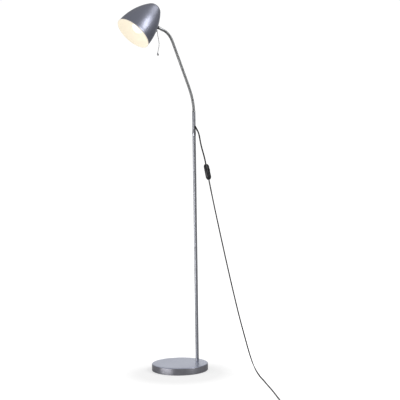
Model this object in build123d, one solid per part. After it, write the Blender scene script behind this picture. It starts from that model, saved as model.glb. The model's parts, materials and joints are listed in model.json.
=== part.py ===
from build123d import *
import os
from math import asin, atan2, ceil, cos, degrees, dist, radians, sin, sqrt, tan

os.makedirs("parts", exist_ok=True)

# A reading floor lamp: weighted round base, thin pole, ribbed gooseneck and a small bell shade.
# Millimetres, +Z up. The origin is the middle of the underside of the base, and +X is the way
# that the neck reaches. The neck, the shade's axis and the pole all lie in the plane Y = 0.

# ---------------------------------------------------------------- fits
slip = 0.05            # radial clearance of a shaft, screw or spigot in its hole
air = 0.3              # gap between surfaces that move past each other

# ---------------------------------------------------------------- base
base_r = 100.0
base_h = 25.0          # floor to the top of the cover
cover_wall = 1.5
cover_edge_r = 3.0
cover_lift = 1.0       # floor to the lower edge of the cover
pad_t = 1.5
pad_inset = 3.0        # the pad stops this far inside the cover
weight_disc_t = 14.0
weight_rim_w = 14.0
weight_hub_r = 17.0
pole_inset = 28.0      # edge of the base to the pole's axis

# ---------------------------------------------------------------- pole bolt
bolt_r = 4.0
bolt_head_af = 13.0
bolt_head_h = 5.3
bolt_grip = 24.0       # length of the bolt inside the pole
washer_r = 8.5
washer_t = 1.6
counterbore_r = 10.5
web_t = 9.0            # thickness of the weight above the counterbore

# ---------------------------------------------------------------- pole
pole_r = 6.0
pole_wall = 1.0
pole_lower_len = 404.0
pole_upper_len = 405.8
plug_len = 32.0        # threaded plug in the foot of the pole
stud_len = 44.0        # stud that joins the two tubes
collar_len = 19.8
collar_r = 6.9
collar_spigot = 18.0
sleeve_spigot = 5.0
sleeve_len = 65.4

# ---------------------------------------------------------------- cord outlet in the sleeve
cord_heading = 107.85  # compass of the hanging cord about the pole, from +X
outlet_rise = 22.0     # foot of the sleeve to where the bush's axis crosses its middle
outlet_dip = 55.0      # the bush points this far below level
bush_r = 3.3
bush_tip_r = 2.9
bush_start = 8.2       # distances along the bush's axis from the middle of the sleeve
bush_step = 17.0       # end of its straight part
bush_end = 31.0

# ---------------------------------------------------------------- gooseneck
neck_r = 5.0
neck_bore_r = 2.4
lip_r = 4.6            # inside of a link's skirt, level with the pivot
ball_r = 3.9           # widest part of the ball on the end of each link
waist_r = 3.25
waist_drop = 3.8       # pivot down to the waist under the ball
shoulder_drop = 2.4    # pivot down to the outer edge of the shoulder
rib_pitch = 9.0
rib_groove = 0.55      # depth of the groove between two ribs
rib_half = 0.9         # half of a groove's width
foot_ferrule_len = 14.0
foot_spigot = 16.0
link_lengths = [32.0, 36.0, 40.0, 40.0, 40.0, 38.0, 30.0, 19.0, 19.0]
link_bends = [8.0, 9.0, 5.3, 0.0, 0.0, 0.0, 0.0, 11.0, 18.0, 18.3]  # bend stored at each pivot
lead_r = 1.8
lead_corner_r = 25.0   # bend of the lead where two links meet
lead_tail = 14.0       # length of the lead below the sleeve's top, past the outlet

# ---------------------------------------------------------------- neck end and swivel
end_ferrule_r = 5.4
end_ferrule_len = 29.0  # last pivot to the knuckle's shoulder
ferrule_band = 2.5
nipple_r = 4.0
knuckle_r = 6.6
knuckle_len = 7.4
nipple_nut_af = 13.0
nipple_nut_t = 4.0

# ---------------------------------------------------------------- shade
rim_r = 65.0
shade_depth = 138.6
crown_r = 32.0         # radius of the domed end
shade_wall = 0.8
bead_r = 1.5           # rolled edge
bead_wrap = 50.0       # the roll runs this many degrees past its inner and outer sides
neck_height = 85.3     # rim up to where the neck enters, along the shade's axis

# ---------------------------------------------------------------- holder and bulb
strap_w = 14.0
strap_t = 2.0
strap_gap = 2.5        # wall's outer face to the strap, at the nipple
strap_toe = 6.5        # strap past the nipple towards the rim
strap_heel = 10.5      # strap past the nipple towards the crown
strap_drop = 19.6      # crown of the shade down to the strap's upper run
strap_knee = 23.0      # distance of its upper bend from the shade's axis
strap_reach = 12.0     # strap beyond the shade's axis
holder_r = 14.0
holder_cap_h = 15.0
holder_cap_top_r = 9.0
holder_len = 46.0
holder_wall = 2.0
stem_r = 4.9
stem_nut_af = 14.0
stem_nut_t = 3.5
shell_r = 7.6
shell_wall = 0.5
shell_len = 14.0
bulb_cap_r = 6.9
bulb_cap_len = 18.0
bulb_tip_r = 3.0
bulb_r = 22.5
bulb_neck_r = 9.5
bulb_len = 58.0        # glass alone, from the cap to its end
glass_wall = 0.9

# ---------------------------------------------------------------- pull switch and chain
spout_drop = 12.3      # from the neck's height down to the switch's spout, along the shade's axis
spout_r = 3.6
spout_bore_r = 2.4
spout_out = 6.0        # spout outside the wall
pull_body_r = 8.5
pull_body_len = 14.0
pull_body_depth = 11.0  # wall to the switch's body
ring_nut_r = 5.2
ring_nut_t = 2.4
plunger_r = 1.0
plunger_ball_r = 1.5
plunger_stroke = 6.0
plunger_out = 2.6      # the mouth of the spout to the chain's pivot
chain_bead_r = 1.5
chain_bead_pitch = 4.0
chain_beads = 18
chain_waist_r = 0.6
knob_r = 3.4
knob_len = 11.0

# ---------------------------------------------------------------- mains cord and what is on it
cord_r = 2.6
cord_sides = 8
bush_lead = 10.0       # straight run of the cord out of the bush
floor_gap = 0.05       # the cord lies this far off the floor
case_len = 58.0
case_w = 20.0
case_upper_t = 8.0
case_lower_t = 6.5
case_end_w = 11.0
case_edge_r = 1.6
rocker_len = 20.0
rocker_w = 9.6
rocker_pocket = 6.4
rocker_proud = 2.4
rocker_tilt = 7.0
rocker_depth = 3.2      # rocker's pivot below the case's face
case_screw_r = 1.6
case_screw_span = 44.0
plug_body_len = 34.0
plug_w = 26.0
plug_t = 13.7
plug_tail_w = 11.0
plug_edge_r = 2.5
pin_r = 2.0
pin_len = 19.0
pin_span = 18.6
coil_mid_r = 30.5      # middle of the coil's turns
coil_gap = 1.5         # air between two turns side by side or on each other
coil_half_turns = 8
coil_tail = 26.0       # level run off the coil, and the run down to the plug

# ---------------------------------------------------------------- worked out from the above
pole_x = pole_inset - base_r
cover_top = base_h
weight_top = cover_top - cover_wall
counterbore_top = weight_top - web_t
pole_bore_r = pole_r - pole_wall
pole_joint_z = base_h + pole_lower_len
collar_z = pole_joint_z + pole_upper_len
sleeve_z = collar_z + collar_len
sleeve_top = sleeve_z + sleeve_len
outlet_z = sleeve_z + outlet_rise
strap_top = shade_depth - strap_drop
spout_height = neck_height - spout_drop


# ================================================================ helpers
def save(name, shape):
    """Write one sub-part, with its own name, to its own file."""
    shape.label = name
    export_step(shape, f"parts/{name}.step")
    return shape


def turned(points, frame=None):
    """A solid of revolution about the local Z from a closed outline of (radius, height)."""
    outline = make_face(Polyline(*[(r, 0, z) for r, z in points], close=True))
    solid = revolve(outline, Axis.Z)
    return frame * solid if frame else solid


def rod(radius, low, high):
    """A round bar on the Z axis between two heights."""
    return Pos(0, 0, low) * Cylinder(radius, high - low, align=(Align.CENTER, Align.CENTER, Align.MIN))


def tube(outer, inner, low, high):
    """A round pipe on the Z axis between two heights."""
    return rod(outer, low, high) - rod(inner, low - 1, high + 1)


def hexagon(flats, low, high):
    """A hexagonal bar on the Z axis, given the distance across its flats."""
    return Pos(0, 0, low) * extrude(RegularPolygon(flats / 2, 6, major_radius=False), high - low)


def arc_points(centre, radius, start, end, steps):
    """Points on an arc of an outline, from one angle to another, both ends included."""
    angles = [radians(start + (end - start) * k / steps) for k in range(steps + 1)]
    return [(centre[0] + radius * cos(a), centre[1] + radius * sin(a)) for a in angles]


def frame_at(point, z_dir, x_dir=(0, 1, 0)):
    """A work plane at a point, with its Z along z_dir."""
    return Plane(origin=point, x_dir=x_dir, z_dir=z_dir)


def lean(angle):
    """The direction in the plane Y = 0 that leans this many degrees from upright to +X."""
    return Vector(sin(radians(angle)), 0, cos(radians(angle)))


def route_radii(points):
    """For each corner of a route, 0.45 of its shorter run over the tangent of half its turn."""
    radii = []
    for before, here, after in zip(points, points[1:], points[2:]):
        run_in = Vector(*here) - Vector(*before)
        run_out = Vector(*after) - Vector(*here)
        turn = run_in.get_angle(run_out)
        radii.append(0.45 * min(run_in.length, run_out.length) / tan(radians(turn / 2)))
    return radii


def swept(name, path, radius):
    """A cord with flat sides along a path of lines and arcs, its volume compared with its length."""
    section = Plane(origin=path @ 0, z_dir=path % 0) * RegularPolygon(radius, cord_sides)
    solid = sweep(section, path=path)
    ratio = solid.volume / (section.area * path.length)
    print(f"{name}: length {path.length:.1f}, volume ratio {ratio:.4f}")
    return solid


def cord_along(name, points, radius, corner=None):
    """A cord along a route whose corners are rounded as far as its runs allow, or by one radius."""
    radii = route_radii(points) if corner is None else [corner] * (len(points) - 2)
    print(f"{name}: radii", [round(r) for r in radii])
    return swept(name, FilletPolyline(*points, radius=radii), radius)


# ================================================================ base
def base_cover():
    """The pressed steel cover, open below, with the bolt's hole."""
    edge = arc_points((base_r - cover_edge_r, cover_top - cover_edge_r), cover_edge_r, 0, 90, 3)
    inner_edge = cover_edge_r - cover_wall
    outline = [(base_r, cover_lift)] + edge + [
        (0, cover_top), (0, weight_top), (base_r - cover_wall - inner_edge, weight_top),
        (base_r - cover_wall, weight_top - inner_edge), (base_r - cover_wall, cover_lift),
    ]
    hole = Pos(pole_x, 0, 0) * rod(bolt_r + slip, weight_top - 1, cover_top + 1)
    return turned(outline) - hole


def base_weight():
    """The cast weight: a disc with a thick rim and a hub round the bolt."""
    outer = base_r - cover_wall - slip
    edge = cover_edge_r - cover_wall + 0.5
    outline = [
        (0, weight_top - weight_disc_t), (outer - weight_rim_w, weight_top - weight_disc_t),
        (outer - weight_rim_w, pad_t), (outer, pad_t), (outer, weight_top - edge),
        (outer - edge, weight_top), (0, weight_top),
    ]
    weight = turned(outline) + Pos(pole_x, 0, 0) * rod(weight_hub_r, pad_t, weight_top)
    recess = rod(counterbore_r, 0, counterbore_top) + rod(bolt_r + slip, 0, cover_top)
    return weight - Pos(pole_x, 0, 0) * recess


def base_pad():
    """The soft pad under the base, with an opening for the bolt."""
    return rod(base_r - pad_inset, 0, pad_t) - Pos(pole_x, 0, 0) * rod(counterbore_r, -1, pad_t + 1)


def pole_bolt():
    """The bolt that holds the pole down, put in from below."""
    head_top = counterbore_top - washer_t
    bolt = hexagon(bolt_head_af, head_top - bolt_head_h, head_top)
    bolt += rod(bolt_r, head_top, cover_top + bolt_grip)
    return Pos(pole_x, 0, 0) * bolt


def pole_bolt_washer():
    return Pos(pole_x, 0, 0) * tube(washer_r, bolt_r + slip, counterbore_top - washer_t, counterbore_top)


# ================================================================ pole
def pole_foot_plug():
    """The threaded plug in the foot of the pole."""
    return Pos(pole_x, 0, 0) * tube(pole_bore_r - slip, bolt_r + slip, cover_top, cover_top + plug_len)


def pole_lower():
    return Pos(pole_x, 0, 0) * tube(pole_r, pole_bore_r, base_h, pole_joint_z)


def pole_stud():
    """The stud inside the joint of the two tubes, with a waist between its threads."""
    r, half, neck = pole_bore_r - slip, stud_len / 2, 4.0
    outline = [
        (0, -half), (r - 1, -half), (r, 1 - half), (r, -neck), (r - 1, -neck),
        (r - 1, neck), (r, neck), (r, half - 1), (r - 1, half), (0, half),
    ]
    return Pos(pole_x, 0, pole_joint_z) * turned(outline)


def pole_upper():
    return Pos(pole_x, 0, 0) * tube(pole_r, pole_bore_r, pole_joint_z, collar_z)


def pole_collar():
    """The barrel-shaped coupling between the pole and the sleeve, with a spigot each way."""
    spigot = pole_bore_r - slip
    rise = collar_r - pole_r
    belly_r = (collar_len**2 / 4 + rise**2) / (2 * rise)
    half = degrees(asin(collar_len / 2 / belly_r))
    belly = arc_points((collar_r - belly_r, collar_len / 2), belly_r, -half, half, 4)
    outline = [(0, -collar_spigot), (spigot, -collar_spigot), (spigot, 0)] + belly + [
        (spigot, collar_len), (spigot, collar_len + sleeve_spigot), (0, collar_len + sleeve_spigot),
    ]
    return Pos(pole_x, 0, collar_z) * turned(outline)


# ================================================================ sleeve and cord outlet
cord_dir = Vector(cos(radians(cord_heading)), sin(radians(cord_heading)), 0)
bush_dir = cord_dir * cos(radians(outlet_dip)) - Vector(0, 0, sin(radians(outlet_dip)))
bush_origin = Vector(pole_x, 0, outlet_z)
bush_frame = frame_at(bush_origin, bush_dir, x_dir=cord_dir.cross(Vector(0, 0, 1)))


def hang(out, height):
    """A point of the hanging cord: its distance from the pole's axis and its height."""
    point = Vector(pole_x, 0, height) + cord_dir * out
    return (point.X, point.Y, point.Z)


def cord_sleeve():
    """The sleeve over the coupling, drilled aslant for the cord's bush."""
    sleeve = Pos(pole_x, 0, 0) * tube(pole_r, pole_bore_r, sleeve_z, sleeve_top)
    return sleeve - bush_frame * rod(bush_r + slip, 0, bush_end)


def cord_bush():
    """The rubber bush that the cord leaves by, pointing down and outwards."""
    outline = [
        (0, bush_start), (bush_r, bush_start), (bush_r, bush_step), (bush_tip_r, bush_end), (0, bush_end),
    ]
    return turned(outline, bush_frame) - Pos(pole_x, 0, 0) * rod(pole_bore_r + slip, collar_z, sleeve_top)


# ================================================================ gooseneck
def ball_end(pivot):
    """Outline of a link's upper end, from the shoulder over the ball to the bore."""
    return [
        (neck_r, pivot - shoulder_drop), (waist_r, pivot - waist_drop), (ball_r, pivot),
        (neck_bore_r + 0.7, pivot + ball_r * 0.6), (neck_bore_r, pivot - 1.0),
    ]


def skirt_end(pivot, outer):
    """Outline of a link's lower end, from the bore down its cone to the lip."""
    return [(neck_bore_r, pivot + 5.6), (lip_r, pivot), (outer, pivot)]


def ribs(low, high):
    """Outline of the ribs between two heights of a link."""
    count = int((high - low) // rib_pitch)
    step = (high - low) / max(count, 1)
    points = []
    for k in range(1, count):
        middle = low + k * step
        points += [
            (neck_r, middle - rib_half), (neck_r - rib_groove, middle), (neck_r, middle + rib_half),
        ]
    return points


def foot_ferrule():
    """The neck's lower ferrule: a spigot in the sleeve, and the first ball."""
    spigot = pole_bore_r - slip
    outline = [
        (neck_bore_r, -foot_spigot), (spigot, -foot_spigot), (spigot, 0), (pole_r, 0),
        (pole_r, 4.0), (neck_r, 5.0),
    ] + ball_end(foot_ferrule_len)
    return Pos(pole_x, 0, sleeve_top) * turned(outline)


def neck_link(length):
    """One link: a skirt round the ball below, ribs, and its own ball on top."""
    ribbed = ribs(0, length - shoulder_drop)
    return turned(skirt_end(0, neck_r) + ribbed + ball_end(length))


def neck_chain():
    """The frame at each pivot of the neck at rest: local Z runs up the next link."""
    point, angle, frames = Vector(pole_x, 0, sleeve_top + foot_ferrule_len), 0.0, []
    for bend, length in zip(link_bends, link_lengths + [end_ferrule_len]):
        angle += bend
        frames.append(frame_at(point, lean(angle)))
        point = point + lean(angle) * length
    return frames, point, angle


pivots, knuckle_point, neck_angle = neck_chain()
neck_dir = lean(neck_angle)


def neck_lead():
    """The flexible lead up the middle of the neck, from the sleeve to the nipple."""
    start = Vector(pole_x, 0, sleeve_top - foot_spigot - lead_tail)
    last = pivots[-1].origin + neck_dir * end_ferrule_len
    corners = [p.origin for p, bend in zip(pivots, link_bends) if bend > 0]
    points = [tuple(start)] + [tuple(c) for c in corners] + [tuple(last)]
    return cord_along("neck_lead", points, lead_r, lead_corner_r)


# ================================================================ shade's frames
# In the shade's own frame Z runs from the rim to the crown, and X to the side where the neck enters.
side_r = (rim_r**2 + (shade_depth - crown_r) ** 2 - crown_r**2) / (2 * (rim_r - crown_r))
wall_gap = knuckle_len + air


def wall_at(height):
    """The wall's radius at a height over the rim, and how far its normal leans to the crown."""
    return rim_r - side_r + sqrt(side_r**2 - height**2), degrees(asin(height / side_r))


def shade_frame():
    """The shade's frame, placed so that the neck meets the wall square."""
    radius, slope = wall_at(neck_height)
    entry = knuckle_point + neck_dir * wall_gap
    radial = lean(neck_angle + 180 - slope)
    up = lean(neck_angle - 90 - slope)
    return Plane(origin=entry - radial * radius - up * neck_height, x_dir=radial, z_dir=up)


shade_plane = shade_frame()


def into_wall(height):
    """A frame on the wall's outer face at this height, its Z square to the wall and inwards."""
    radius, slope = wall_at(height)
    inwards = shade_plane.x_dir * -cos(radians(slope)) + shade_plane.z_dir * -sin(radians(slope))
    return frame_at(shade_plane.origin + shade_plane.x_dir * radius + shade_plane.z_dir * height, inwards)


neck_plane = frame_at(knuckle_point, neck_dir)      # Z runs on into the shade
entry_plane = into_wall(neck_height)
spout_plane = into_wall(spout_height)
spout_dir = spout_plane.z_dir


# ================================================================ neck end and swivel
def end_ferrule():
    """The bright ferrule at the top of the neck, with two bands and the hollow nipple."""
    r, length = end_ferrule_r, end_ferrule_len
    nipple_end = length + wall_gap + strap_gap + strap_t + air + nipple_nut_t + 1.5
    outline = skirt_end(0, neck_r) + [
        (neck_r, 8.0), (r, 9.0), (r, length - ferrule_band), (r - 0.6, length - ferrule_band + 0.6),
        (r - 0.6, length), (nipple_r, length), (nipple_r, nipple_end), (neck_bore_r, nipple_end),
    ]
    return turned(outline, pivots[-1])


def swivel_knuckle():
    """The black knuckle between the ferrule and the shade's wall."""
    r, end = knuckle_r, knuckle_len
    outline = [
        (nipple_r + slip, 0), (r - 1.4, 0), (r, 1.6), (r, end - 2.4), (r - 1.2, end - 1.6),
        (r - 1.2, end), (nipple_r + slip, end),
    ]
    return turned(outline, neck_plane)


def nipple_nut():
    """The nut that keeps the shade on the nipple and lets it turn."""
    low = wall_gap + strap_gap + strap_t + air
    nut = hexagon(nipple_nut_af, low, low + nipple_nut_t) - rod(nipple_r + slip, low - 1, low + nipple_nut_t + 1)
    return neck_plane * nut


# ================================================================ shade
def shade_outline(inset):
    """The wall's side and crown from the rim to the axis, moved in by a share of the wall."""
    turn = degrees(atan2(shade_depth - crown_r, side_r - rim_r))
    side = arc_points((rim_r - side_r, 0), side_r - inset, 0, turn, 6)
    return side + arc_points((0, shade_depth - crown_r), crown_r - inset, turn, 90, 5)[1:]


def shade():
    """The spun shade with its rolled edge, the nipple's hole and the pull switch's hole."""
    bead = arc_points((rim_r - shade_wall / 2, 0), bead_r, 180 - bead_wrap, 360 + bead_wrap, 5)
    outline = bead + shade_outline(0)[1:] + shade_outline(shade_wall)[:0:-1]
    whole = turned(outline, shade_plane)
    through = wall_gap + strap_gap
    holes = entry_plane * rod(nipple_r + slip, -through, through)
    holes += spout_plane * rod(spout_r + slip, -through, through)
    return whole - holes


# ================================================================ holder and bulb
def holder_strap():
    """The bent strap from the nipple to the holder, made from flat strip."""
    wall_radius, slope = wall_at(neck_height)
    along = Vector(sin(radians(slope)), -cos(radians(slope)))
    inwards = Vector(-cos(radians(slope)), -sin(radians(slope)))
    seat = Vector(wall_radius, neck_height) + inwards * (strap_gap + strap_t / 2)
    middle = [
        seat + along * strap_toe, seat - along * strap_heel,
        Vector(strap_knee, strap_top), Vector(-strap_reach, strap_top),
    ]
    line = Polyline(*[(p.X, 0, p.Y) for p in middle])
    strip = offset(line, strap_t / 2, kind=Kind.INTERSECTION, side=Side.BOTH)
    strap = extrude(make_face(strip), strap_w / 2, both=True)
    strap = shade_plane * (strap - rod(stem_r + slip, strap_top - 2 * strap_t, strap_top + 2 * strap_t))
    return strap - entry_plane * rod(nipple_r + slip, -1, strap_gap + 3 * strap_t)


holder_top = strap_top - strap_t / 2      # heights in the shade's frame
holder_low = holder_top - holder_len
bulb_seat = holder_low - 1.0              # where the glass meets its cap


def holder_cap():
    """The cap of the lampholder, with the hollow stem that goes through the strap."""
    top, r = holder_top, holder_r
    outline = [
        (3.0, top - 3), (3.0, top + strap_t + stem_nut_t + 1.5), (stem_r, top + strap_t + stem_nut_t + 1.5),
        (stem_r, top), (holder_cap_top_r, top), (r, top - 6), (r, top - holder_cap_h),
        (r - holder_wall, top - holder_cap_h), (r - holder_wall, top - 7.5), (holder_cap_top_r - 1, top - 3),
    ]
    return turned(outline, shade_plane)


def holder_barrel():
    """The lower part of the lampholder, open where the bulb goes in."""
    top, low, r = holder_top - holder_cap_h, holder_low, holder_r
    outline = [
        (r - holder_wall, top), (r, top), (r, low + 6), (r - 0.8, low + 6), (r - 1.6, low),
        (shell_r + slip, low), (shell_r + slip, low + 3), (r - holder_wall, low + 6),
    ]
    return turned(outline, shade_plane)


def stem_nut():
    low = holder_top + strap_t
    hole = rod(stem_r + slip, low - 1, low + stem_nut_t + 1)
    return shade_plane * (hexagon(stem_nut_af, low, low + stem_nut_t) - hole)


def screw_shell():
    """The brass shell that the bulb screws into, with a turned-out foot."""
    low, high = holder_low + 3.0, holder_low + shell_len
    outline = [
        (shell_r - shell_wall, low), (shell_r, low), (shell_r, high), (holder_r - holder_wall - slip, high),
        (holder_r - holder_wall - slip, high + 2), (shell_r - 3, high + 2), (shell_r - 3, high + 1),
        (shell_r - shell_wall, high + 1),
    ]
    return turned(outline, shade_plane)


def contact_block():
    """The insulating block with the centre contact, above the screw shell."""
    low = holder_low + shell_len + 2
    high = holder_top - holder_cap_h
    contact, recess = bulb_seat + bulb_cap_len + air, bulb_tip_r + 1.2
    outline = [
        (0, contact), (recess, contact), (recess, low), (holder_r - holder_wall - slip, low),
        (holder_r - holder_wall - slip, high), (0, high),
    ]
    return turned(outline, shade_plane)


def bulb_cap():
    """The bulb's metal screw cap, up to the contact at its tip."""
    low, high, r = bulb_seat, bulb_seat + bulb_cap_len, bulb_cap_r
    outline = [
        (0, low), (r, low), (r, high - 4), (bulb_tip_r, high - 1.5), (bulb_tip_r - 1, high), (0, high),
    ]
    return turned(outline, shade_plane)


def bulb_outline(inset):
    """The globe and its neck, from the middle of the globe's end to the cap, moved in by a share."""
    globe = arc_points((0, bulb_seat - bulb_len + bulb_r), bulb_r - inset, -90, 48, 6)
    return globe + [(bulb_neck_r - inset, bulb_seat - 5), (bulb_cap_r - air - inset, bulb_seat)]


def bulb_glass():
    """The golf-ball bulb: a globe that runs into a short neck."""
    outside = bulb_outline(0)
    inside = bulb_outline(glass_wall)
    return turned(outside + inside[::-1], shade_plane)


# ================================================================ pull switch and chain
def pull_switch():
    """The small pull switch inside the shade, with its hollow spout through the wall."""
    low, high = pull_body_depth, pull_body_depth + pull_body_len
    outline = [
        (spout_bore_r, -spout_out), (spout_r, -spout_out), (spout_r, low), (pull_body_r, low),
        (pull_body_r, high - 2), (pull_body_r - 2, high), (0, high), (0, low + 5), (spout_bore_r, low + 5),
    ]
    return turned(outline, spout_plane)


def ring_nuts():
    """The two ring nuts that clamp the spout to the wall: one outside, one inside."""
    outer = tube(ring_nut_r, spout_r + slip, -ring_nut_t - slip, -slip)
    low = shade_wall + ring_nut_r**2 / (2 * wall_at(spout_height)[0]) + 0.25
    inner = tube(ring_nut_r, spout_r + slip, low, low + ring_nut_t)
    return spout_plane * (outer + inner)


chain_pivot = spout_plane.origin - spout_dir * (spout_out + plunger_out)
chain_top = chain_pivot.Z - plunger_ball_r - air
chain_len = chain_beads * chain_bead_pitch


def plunger():
    """The pulled rod of the switch, with a little ball outside the spout."""
    ball, inner_end = -spout_out - plunger_out, pull_body_depth + 4
    outline = [
        (0, ball - plunger_ball_r), (plunger_ball_r * 0.75, ball - plunger_ball_r * 0.6),
        (plunger_ball_r * 0.75, ball + plunger_ball_r * 0.6), (plunger_r, ball + plunger_ball_r),
        (plunger_r, inner_end - 3), (spout_bore_r - air, inner_end - 2), (spout_bore_r - air, inner_end),
        (0, inner_end),
    ]
    return turned(outline, spout_plane)


def hexagon_corners(radius, height):
    """The corners of a level hexagon about the Z axis."""
    turns = [radians(60 * k) for k in range(6)]
    return [(radius * cos(a), radius * sin(a), height) for a in turns]


def pull_chain():
    """The bead chain, straight down from the switch's spout: six-sided beads with flat faces."""
    levels = [hexagon_corners(chain_waist_r, 0)]
    for k in range(chain_beads):
        top = -k * chain_bead_pitch
        levels.append(hexagon_corners(chain_bead_r, top - chain_bead_pitch / 2))
        levels.append(hexagon_corners(chain_waist_r, top - chain_bead_pitch))
    faces = [Face(Wire.make_polygon(ring)) for ring in (levels[0], levels[-1])]
    for upper, lower in zip(levels, levels[1:]):
        for k in range(6):
            n = (k + 1) % 6
            faces.append(Face(Wire.make_polygon([upper[k], upper[n], lower[n], lower[k]])))
    return Pos(chain_pivot.X, chain_pivot.Y, chain_top) * Solid(Shell(faces))


def chain_knob():
    """The small turned knob on the end of the chain."""
    r, top = knob_r, chain_top - chain_len
    outline = [
        (0, 0), (r * 0.35, 0), (r * 0.45, -2.0), (r * 0.9, -4.6), (r, -7.0), (r * 0.8, -knob_len + 1.2),
        (r * 0.5, -knob_len), (0, -knob_len),
    ]
    return Pos(chain_pivot.X, chain_pivot.Y, top) * turned(outline)


# ================================================================ mains cord
# The cord's middle line. It leaves the bush, hangs beside the pole to the switch and on to the
# floor, and runs along the floor to a coil.
bush_tip = bush_origin + bush_dir * bush_end
case_top_point = Vector(*hang(53.5, 733.3))
case_axis = (Vector(*hang(67.2, 676.6)) - case_top_point).normalized()
case_end_point = case_top_point + case_axis * case_len
lie = cord_r + floor_gap

upper_route = [
    tuple(bush_tip),
    tuple(bush_tip + bush_dir * bush_lead),
    hang(31.0, 803.0),
    tuple(case_top_point - case_axis * 24.0),
    tuple(case_top_point),
]
lower_route = [
    tuple(case_end_point),
    tuple(case_end_point + case_axis * 52.0),
    hang(97.5, 556.0),
    hang(116.2, 486.0),
    hang(136.0, 413.0),
    hang(156.0, 341.0),
    hang(176.8, 269.0),
    hang(198.5, 197.0),
    hang(221.5, 130.0),
    hang(244.0, 73.0),
    hang(265.0, 33.0),
    (-158.0, 281.0, 7.0),
    (-151.0, 318.0, lie),
    (-130.0, 361.0, lie),
    (-104.0, 412.0, lie),
    (-82.0, 462.0, lie),
    (-54.0, 512.0, lie),
    (-30.0, 560.0, lie),
    (-9.0, 606.0, lie),
    (8.0, 646.0, lie),
]


def half_turn_arcs(start, start_dir, end, end_dir):
    """Two arcs that leave start along start_dir and reach end along end_dir."""
    span = end - start
    both = start_dir + end_dir
    square = 4 - both.dot(both)
    half = span.dot(both)
    if square < 1e-9:
        reach = span.dot(span) / (2 * half)
    else:
        reach = (-half + sqrt(half**2 + square * span.dot(span))) / square
    middle = (start + start_dir * reach + end - end_dir * reach) / 2
    first = TangentArc(start, middle, tangent=start_dir)
    return [first, TangentArc(middle, end, tangent=first % 1)]


def coil_path():
    """The coil: in along the lower layer, up to the upper layer, out again and down to the plug."""
    here = Vector(*lower_route[-1])
    ahead = (here - Vector(*lower_route[-2])).normalized()
    side = Vector(ahead.Y, -ahead.X, 0)
    step = cord_r * 2 + coil_gap
    inward = coil_half_turns // 2
    outer_r = coil_mid_r + inward * step / 4
    edges = [Line(here, here + ahead * (2 * cord_r))]
    centre = here + ahead * (2 * cord_r) + side * outer_r
    point, radius, away = here + ahead * (2 * cord_r), outer_r, side * -1
    heading = ahead
    for k in range(coil_half_turns):
        climb = step if k == inward else 0.0
        change = 0.0 if k == inward else (-step / 2 if k < inward else step / 2)
        radius += change
        away = away * -1
        target = Vector(centre.X, centre.Y, point.Z + climb) + away * radius
        edges += half_turn_arcs(point, heading, target, heading * -1)
        point, heading = target, heading * -1
    level_end = point + heading * coil_tail
    plug_end = Vector(level_end.X, level_end.Y, plug_t / 2) + heading * coil_tail
    edges.append(Line(point, level_end))
    edges += half_turn_arcs(level_end, heading, plug_end, heading)
    edges.append(Line(plug_end, plug_end + heading * (2 * cord_r)))
    return Wire(edges), plug_end + heading * (2 * cord_r), heading


coil_wire, plug_point, plug_dir = coil_path()


def coil_gap_to_itself():
    """Least distance between two turns of the coil, measured on points of its middle line."""
    count = 700
    points = [tuple(coil_wire @ (k / count)) for k in range(count + 1)]
    apart = ceil(coil_mid_r * count / coil_wire.length)
    pairs = ((a, b) for a in range(count + 1) for b in range(a + apart, count + 1))
    return min(dist(points[a], points[b]) for a, b in pairs) - 2 * cord_r


def cord_coil():
    """The unseen length of the cord in a round coil, in one unbroken tube."""
    print(f"cord_coil: least gap to itself {coil_gap_to_itself():.2f}")
    return swept("cord_coil", coil_wire, cord_r)


# ================================================================ switch on the cord
rocker_side = cord_dir.cross(Vector(0, 0, 1))      # across the hanging cord
case_face = rocker_side.cross(case_axis).normalized()
case_plane = Plane(origin=case_top_point + case_axis * (case_len / 2), x_dir=case_axis, z_dir=case_face)


def case_outline():
    """Plan of the switch's case: a long body that narrows to both cord entries."""
    half, w, end = case_len / 2, case_w / 2, case_end_w / 2
    return make_face(Polyline(
        (-half, -end), (-half + 13, -w), (half - 13, -w), (half, -end),
        (half, end), (half - 13, w), (-half + 13, w), (-half, end), close=True,
    ))


def case_upper():
    """The rocker's half of the case, with its pocket."""
    body = extrude(case_outline(), case_upper_t)
    body = fillet(body.faces().sort_by(Axis.Z)[-1].edges(), case_edge_r)
    pocket = Pos(0, 0, case_upper_t - rocker_pocket) * Box(
        rocker_len + 2 * air, rocker_w + 2 * air, 20, align=(Align.CENTER, Align.CENTER, Align.MIN)
    )
    return case_plane * (body - pocket)


def case_lower():
    """The back half of the case, with two recessed screw holes."""
    body = extrude(case_outline(), -case_lower_t)
    body = fillet(body.faces().sort_by(Axis.Z)[0].edges(), case_edge_r)
    for side in (-1, 1):
        place = Pos(side * case_screw_span / 2 - side * 12, 0, 0)
        body -= place * (rod(case_screw_r + slip, -20, 1) + rod(3.0, -20, -case_lower_t + 2.4))
    return case_plane * body


def case_screws():
    """The two screws that hold the case together, put in from the back."""
    screws = Part()
    for side in (-1, 1):
        place = Pos(side * case_screw_span / 2 - side * 12, 0, 0)
        shank = rod(case_screw_r, -case_lower_t + 2.0, 0)
        head = rod(2.8, -case_lower_t + 0.6, -case_lower_t + 2.4)
        screws += place * (shank + head)
    return case_plane * screws


rocker_pivot = case_plane.origin + case_face * (case_upper_t - rocker_depth)


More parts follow.
